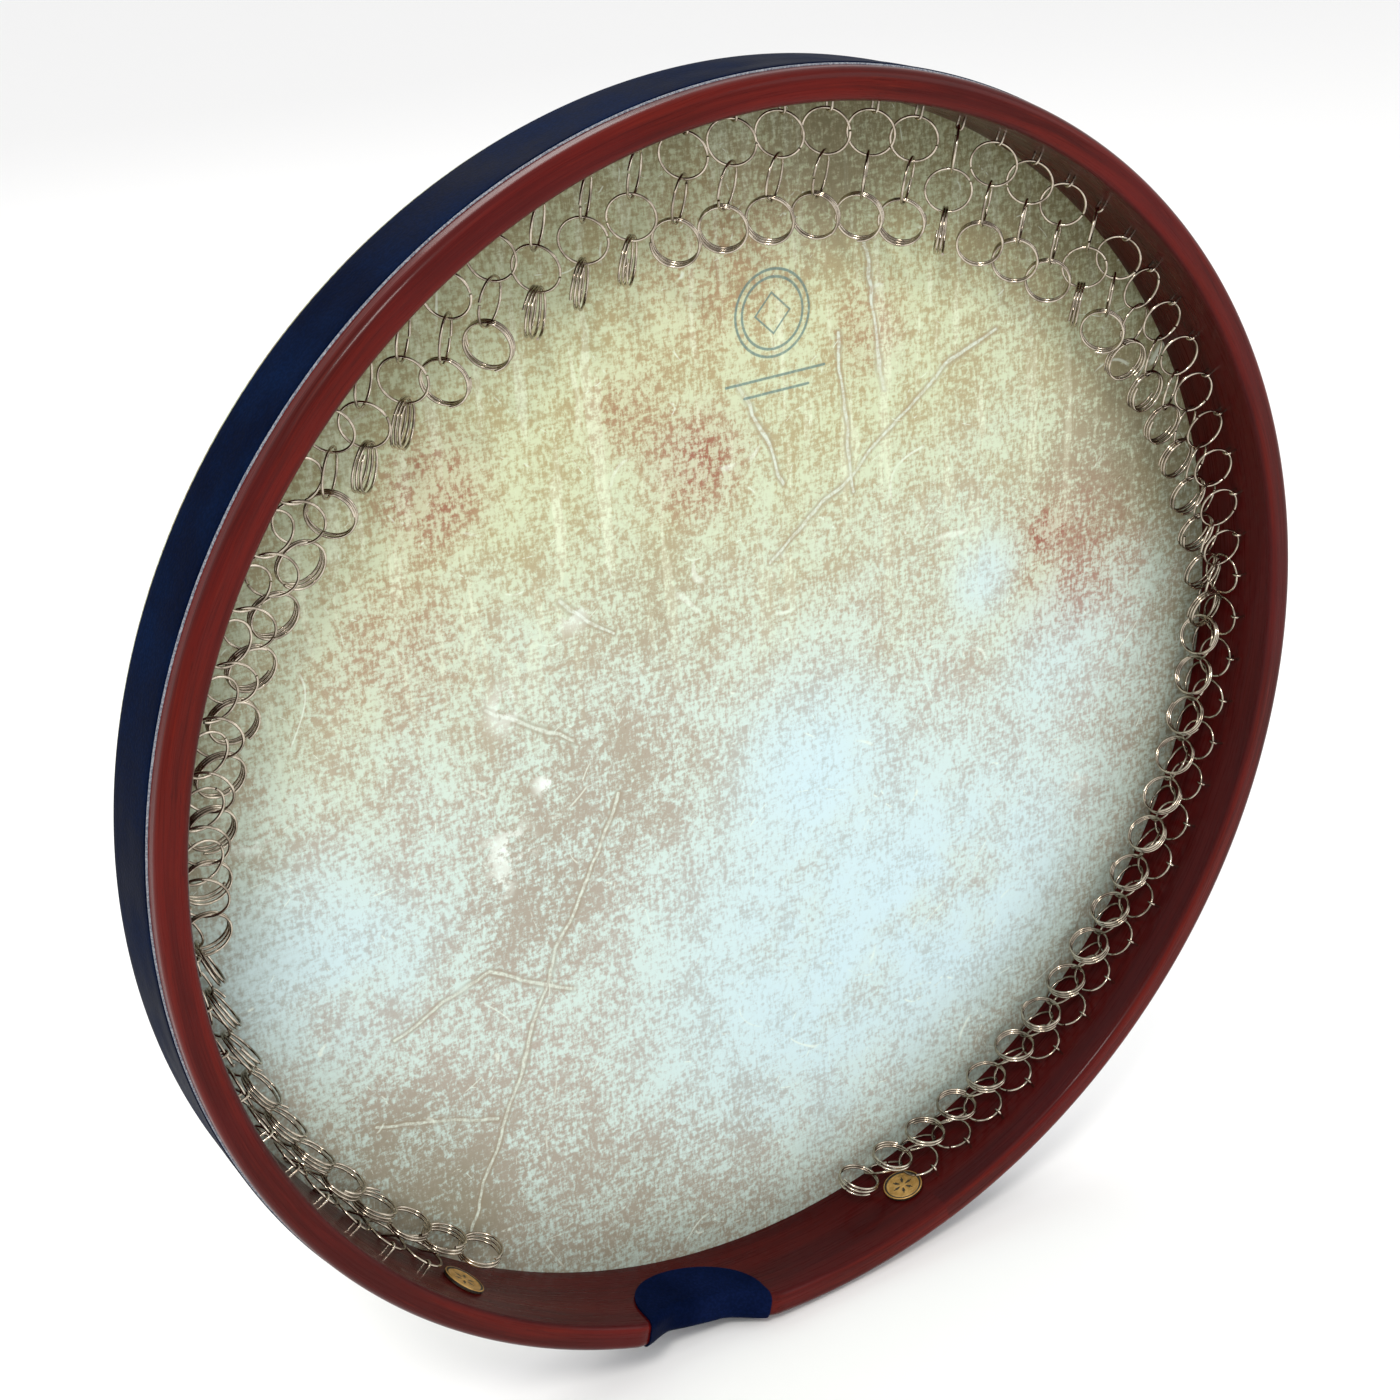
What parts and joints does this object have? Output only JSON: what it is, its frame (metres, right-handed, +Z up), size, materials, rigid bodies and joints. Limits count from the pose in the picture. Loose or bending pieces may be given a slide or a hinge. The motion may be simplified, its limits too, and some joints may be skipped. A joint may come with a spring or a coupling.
{
  "type": "frame drum tambourine",
  "caption": "Large ring-chain frame drum tambourine: deep wooden hoop with a grip notch, one skin, an outer vinyl band and swinging ring chains hooked round the inside.",
  "frame": {"origin": "on the drum's axis, halfway along the hoop's depth", "axes": "+Y along the drum's axis from the open rim to the skin, +Z up, +X to the right seen from the open side"},
  "size_m": [0.532, 0.045, 0.532],
  "materials": {
    "hoop_wood": "gloss lacquered red-brown hardwood",
    "skin": "matt mottled skin, olive-beige with blue-white and brown clouds",
    "navy_vinyl": "satin navy vinyl",
    "ring_steel": "bright nickel-plated steel wire",
    "label_brass": "satin gold disc with a dark edge"
  },
  "bodies": {
    "drum": {"hoop": "hoop_wood", "drum_head": "skin", "outer_band": "navy_vinyl", "grip_pad": "navy_vinyl", "label_disc_left": "label_brass", "label_disc_right": "label_brass"},
    "chain_01": {"ring_chain_01": "ring_steel"},
    "chain_03": {"ring_chain_03": "ring_steel"},
    "chain_05": {"ring_chain_05": "ring_steel"},
    "chain_07": {"ring_chain_07": "ring_steel"},
    "chain_09": {"ring_chain_09": "ring_steel"},
    "chain_11": {"ring_chain_11": "ring_steel"},
    "chain_13": {"ring_chain_13": "ring_steel"},
    "chain_15": {"ring_chain_15": "ring_steel"},
    "chain_17": {"ring_chain_17": "ring_steel"},
    "chain_19": {"ring_chain_19": "ring_steel"},
    "chain_20": {"ring_chain_20": "ring_steel"},
    "chain_21": {"ring_chain_21": "ring_steel"},
    "chain_22": {"ring_chain_22": "ring_steel"},
    "chain_23": {"ring_chain_23": "ring_steel"},
    "chain_24": {"ring_chain_24": "ring_steel"},
    "chain_26": {"ring_chain_26": "ring_steel"},
    "chain_27": {"ring_chain_27": "ring_steel"},
    "chain_28": {"ring_chain_28": "ring_steel"},
    "chain_29": {"ring_chain_29": "ring_steel"},
    "chain_30": {"ring_chain_30": "ring_steel"},
    "chain_31": {"ring_chain_31": "ring_steel"},
    "chain_32": {"ring_chain_32": "ring_steel"},
    "chain_33": {"ring_chain_33": "ring_steel"},
    "chain_34": {"ring_chain_34": "ring_steel"},
    "chain_35": {"ring_chain_35": "ring_steel"},
    "chain_36": {"ring_chain_36": "ring_steel"},
    "chain_37": {"ring_chain_37": "ring_steel"},
    "chain_38": {"ring_chain_38": "ring_steel"},
    "chain_39": {"ring_chain_39": "ring_steel"},
    "chain_40": {"ring_chain_40": "ring_steel"},
    "chain_41": {"ring_chain_41": "ring_steel"},
    "chain_42": {"ring_chain_42": "ring_steel"},
    "chain_43": {"ring_chain_43": "ring_steel"},
    "chain_44": {"ring_chain_44": "ring_steel"},
    "chain_45": {"ring_chain_45": "ring_steel"},
    "chain_47": {"ring_chain_47": "ring_steel"},
    "chain_48": {"ring_chain_48": "ring_steel"},
    "chain_49": {"ring_chain_49": "ring_steel"},
    "chain_50": {"ring_chain_50": "ring_steel"},
    "chain_51": {"ring_chain_51": "ring_steel"},
    "chain_52": {"ring_chain_52": "ring_steel"},
    "chain_55": {"ring_chain_55": "ring_steel"},
    "chain_57": {"ring_chain_57": "ring_steel"},
    "chain_59": {"ring_chain_59": "ring_steel"},
    "chain_61": {"ring_chain_61": "ring_steel"},
    "chain_63": {"ring_chain_63": "ring_steel"}
  },
  "joints": [
    {"name": "chain_01_swing", "type": "hinge", "parent": "drum", "child": "chain_01", "pos_m": [0.06989, -0.0045, -0.23899], "axis": [0.9598, 0, 0.2807], "range_deg": [0, 30]},
    {"name": "chain_03_swing", "type": "hinge", "parent": "drum", "child": "chain_03", "pos_m": [0.10812, -0.0045, -0.2243], "axis": [0.9008, 0, 0.4342], "range_deg": [0, 30]},
    {"name": "chain_05_swing", "type": "hinge", "parent": "drum", "child": "chain_05", "pos_m": [0.14342, -0.0045, -0.20354], "axis": [0.8174, 0, 0.576], "range_deg": [0, 30]},
    {"name": "chain_07_swing", "type": "hinge", "parent": "drum", "child": "chain_07", "pos_m": [0.17485, -0.0045, -0.17728], "axis": [0.712, 0, 0.7022], "range_deg": [0, 30]},
    {"name": "chain_09_swing", "type": "hinge", "parent": "drum", "child": "chain_09", "pos_m": [0.20155, -0.0045, -0.14622], "axis": [0.5872, 0, 0.8094], "range_deg": [0, 30]},
    {"name": "chain_11_swing", "type": "hinge", "parent": "drum", "child": "chain_11", "pos_m": [0.22279, -0.0045, -0.1112], "axis": [0.4466, 0, 0.8947], "range_deg": [0, 30]},
    {"name": "chain_13_swing", "type": "hinge", "parent": "drum", "child": "chain_13", "pos_m": [0.238, -0.0045, -0.07318], "axis": [0.2939, 0, 0.9558], "range_deg": [0, 30]},
    {"name": "chain_15_swing", "type": "hinge", "parent": "drum", "child": "chain_15", "pos_m": [0.24678, -0.0045, -0.03317], "axis": [0.1332, 0, 0.9911], "range_deg": [0, 30]},
    {"name": "chain_17_swing", "type": "hinge", "parent": "drum", "child": "chain_17", "pos_m": [0.24888, -0.0045, 0.00773], "axis": [-0.031, 0, 0.9995], "range_deg": [0, 7]},
    {"name": "chain_19_swing", "type": "hinge", "parent": "drum", "child": "chain_19", "pos_m": [0.24425, -0.0045, 0.04843], "axis": [0, 0.9622, 0.2723], "range_deg": [0, 30]},
    {"name": "chain_20_swing", "type": "hinge", "parent": "drum", "child": "chain_20", "pos_m": [0.23944, -0.0045, 0.06835], "axis": [0, 0.9622, 0.2723], "range_deg": [0, 30]},
    {"name": "chain_21_swing", "type": "hinge", "parent": "drum", "child": "chain_21", "pos_m": [0.233, -0.0045, 0.08781], "axis": [0, 0.9622, 0.2723], "range_deg": [0, 30]},
    {"name": "chain_22_swing", "type": "hinge", "parent": "drum", "child": "chain_22", "pos_m": [0.22499, -0.0045, 0.10667], "axis": [0, 0.9622, 0.2723], "range_deg": [0, 30]},
    {"name": "chain_23_swing", "type": "hinge", "parent": "drum", "child": "chain_23", "pos_m": [0.21546, -0.0045, 0.12482], "axis": [0, 0.9622, 0.2723], "range_deg": [0, 30]},
    {"name": "chain_24_swing", "type": "hinge", "parent": "drum", "child": "chain_24", "pos_m": [0.20446, -0.0045, 0.14211], "axis": [0, 0.9622, 0.2723], "range_deg": [0, 30]},
    {"name": "chain_26_swing", "type": "hinge", "parent": "drum", "child": "chain_26", "pos_m": [0.1784, -0.0045, 0.17371], "axis": [1, 0, 0], "range_deg": [-50, 8]},
    {"name": "chain_27_swing", "type": "hinge", "parent": "drum", "child": "chain_27", "pos_m": [0.16351, -0.0045, 0.18779], "axis": [1, 0, 0], "range_deg": [-50, 8]},
    {"name": "chain_28_swing", "type": "hinge", "parent": "drum", "child": "chain_28", "pos_m": [0.14751, -0.0045, 0.2006], "axis": [1, 0, 0], "range_deg": [-50, 8]},
    {"name": "chain_29_swing", "type": "hinge", "parent": "drum", "child": "chain_29", "pos_m": [0.13051, -0.0045, 0.21205], "axis": [1, 0, 0], "range_deg": [-50, 8]},
    {"name": "chain_30_swing", "type": "hinge", "parent": "drum", "child": "chain_30", "pos_m": [0.11263, -0.0045, 0.22207], "axis": [1, 0, 0], "range_deg": [-50, 8]},
    {"name": "chain_31_swing", "type": "hinge", "parent": "drum", "child": "chain_31", "pos_m": [0.09399, -0.0045, 0.23058], "axis": [1, 0, 0], "range_deg": [-50, 8]},
    {"name": "chain_32_swing", "type": "hinge", "parent": "drum", "child": "chain_32", "pos_m": [0.0747, -0.0045, 0.23753], "axis": [1, 0, 0], "range_deg": [-50, 8]},
    {"name": "chain_33_swing", "type": "hinge", "parent": "drum", "child": "chain_33", "pos_m": [0.05492, -0.0045, 0.24287], "axis": [1, 0, 0], "range_deg": [-50, 8]},
    {"name": "chain_34_swing", "type": "hinge", "parent": "drum", "child": "chain_34", "pos_m": [0.03476, -0.0045, 0.24656], "axis": [1, 0, 0], "range_deg": [-50, 8]},
    {"name": "chain_35_swing", "type": "hinge", "parent": "drum", "child": "chain_35", "pos_m": [0.01436, -0.0045, 0.24859], "axis": [1, 0, 0], "range_deg": [-50, 8]},
    {"name": "chain_36_swing", "type": "hinge", "parent": "drum", "child": "chain_36", "pos_m": [-0.00613, -0.0045, 0.24892], "axis": [1, 0, 0], "range_deg": [-50, 8]},
    {"name": "chain_37_swing", "type": "hinge", "parent": "drum", "child": "chain_37", "pos_m": [-0.02658, -0.0045, 0.24758], "axis": [1, 0, 0], "range_deg": [-50, 8]},
    {"name": "chain_38_swing", "type": "hinge", "parent": "drum", "child": "chain_38", "pos_m": [-0.04685, -0.0045, 0.24455], "axis": [1, 0, 0], "range_deg": [-50, 8]},
    {"name": "chain_39_swing", "type": "hinge", "parent": "drum", "child": "chain_39", "pos_m": [-0.06681, -0.0045, 0.23987], "axis": [1, 0, 0], "range_deg": [-50, 8]},
    {"name": "chain_40_swing", "type": "hinge", "parent": "drum", "child": "chain_40", "pos_m": [-0.08631, -0.0045, 0.23356], "axis": [1, 0, 0], "range_deg": [-50, 8]},
    {"name": "chain_41_swing", "type": "hinge", "parent": "drum", "child": "chain_41", "pos_m": [-0.10523, -0.0045, 0.22567], "axis": [1, 0, 0], "range_deg": [-50, 8]},
    {"name": "chain_42_swing", "type": "hinge", "parent": "drum", "child": "chain_42", "pos_m": [-0.12343, -0.0045, 0.21626], "axis": [1, 0, 0], "range_deg": [-50, 8]},
    {"name": "chain_43_swing", "type": "hinge", "parent": "drum", "child": "chain_43", "pos_m": [-0.1408, -0.0045, 0.20537], "axis": [1, 0, 0], "range_deg": [-50, 8]},
    {"name": "chain_44_swing", "type": "hinge", "parent": "drum", "child": "chain_44", "pos_m": [-0.15721, -0.0045, 0.1931], "axis": [1, 0, 0], "range_deg": [-50, 8]},
    {"name": "chain_45_swing", "type": "hinge", "parent": "drum", "child": "chain_45", "pos_m": [-0.17256, -0.0045, 0.17951], "axis": [1, 0, 0], "range_deg": [-50, 8]},
    {"name": "chain_47_swing", "type": "hinge", "parent": "drum", "child": "chain_47", "pos_m": [-0.19965, -0.0045, 0.1488], "axis": [0, -0.9622, -0.2723], "range_deg": [0, 30]},
    {"name": "chain_48_swing", "type": "hinge", "parent": "drum", "child": "chain_48", "pos_m": [-0.21121, -0.0045, 0.13187], "axis": [0, -0.9622, -0.2723], "range_deg": [0, 30]},
    {"name": "chain_49_swing", "type": "hinge", "parent": "drum", "child": "chain_49", "pos_m": [-0.22134, -0.0045, 0.11406], "axis": [0, -0.9622, -0.2723], "range_deg": [0, 30]},
    {"name": "chain_50_swing", "type": "hinge", "parent": "drum", "child": "chain_50", "pos_m": [-0.22997, -0.0045, 0.09547], "axis": [0, -0.9622, -0.2723], "range_deg": [0, 30]},
    {"name": "chain_51_swing", "type": "hinge", "parent": "drum", "child": "chain_51", "pos_m": [-0.23704, -0.0045, 0.07623], "axis": [0, -0.9622, -0.2723], "range_deg": [0, 30]},
    {"name": "chain_52_swing", "type": "hinge", "parent": "drum", "child": "chain_52", "pos_m": [-0.24251, -0.0045, 0.05648], "axis": [0, -0.9622, -0.2723], "range_deg": [0, 30]},
    {"name": "chain_55_swing", "type": "hinge", "parent": "drum", "child": "chain_55", "pos_m": [-0.24896, -0.0045, -0.00453], "axis": [0.0182, 0, -0.9998], "range_deg": [0, 30]},
    {"name": "chain_57_swing", "type": "hinge", "parent": "drum", "child": "chain_57", "pos_m": [-0.24485, -0.0045, -0.04528], "axis": [0.1818, 0, -0.9833], "range_deg": [0, 30]},
    {"name": "chain_59_swing", "type": "hinge", "parent": "drum", "child": "chain_59", "pos_m": [-0.23411, -0.0045, -0.08481], "axis": [0.3406, 0, -0.9402], "range_deg": [0, 30]},
    {"name": "chain_61_swing", "type": "hinge", "parent": "drum", "child": "chain_61", "pos_m": [-0.21704, -0.0045, -0.12204], "axis": [0.4901, 0, -0.8717], "range_deg": [0, 30]},
    {"name": "chain_63_swing", "type": "hinge", "parent": "drum", "child": "chain_63", "pos_m": [-0.1941, -0.0045, -0.15597], "axis": [0.6264, 0, -0.7795], "range_deg": [0, 30]}
  ]
}
